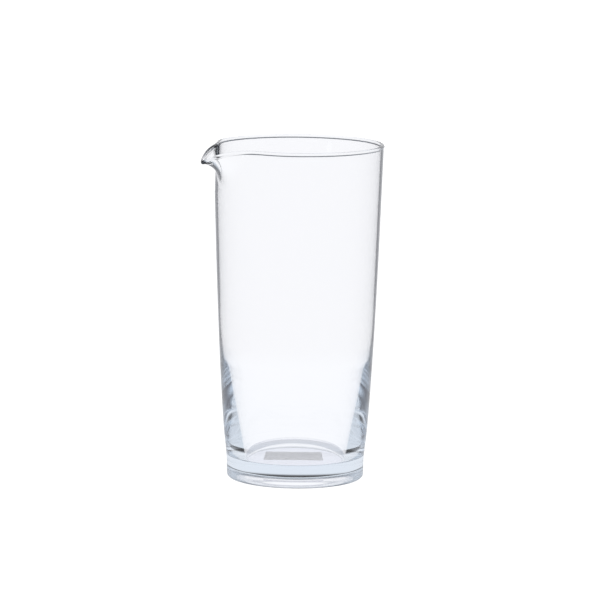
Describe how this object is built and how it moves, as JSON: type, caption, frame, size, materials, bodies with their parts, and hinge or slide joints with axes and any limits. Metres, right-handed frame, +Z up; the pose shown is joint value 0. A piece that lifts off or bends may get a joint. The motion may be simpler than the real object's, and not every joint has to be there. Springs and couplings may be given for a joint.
{
  "type": "mixing glass",
  "caption": "Clear cocktail mixing glass: a tall tapered beaker with a thick heavy base, an even thin wall, a rounded rim and a pouring spout bent out of it.",
  "frame": {"origin": "middle of the foot, on the plane the glass stands on", "axes": "+Z up the axis of the glass, -X towards the spout; the glass is symmetric about the XZ plane"},
  "size_m": [0.0926, 0.0812, 0.16],
  "materials": {
    "clear_glass": "polished clear soda-lime glass",
    "label_paper": "plain matt coated paper, unprinted"
  },
  "bodies": {
    "root": {"glass_vessel": "clear_glass", "base_label": "label_paper"}
  },
  "joints": []
}
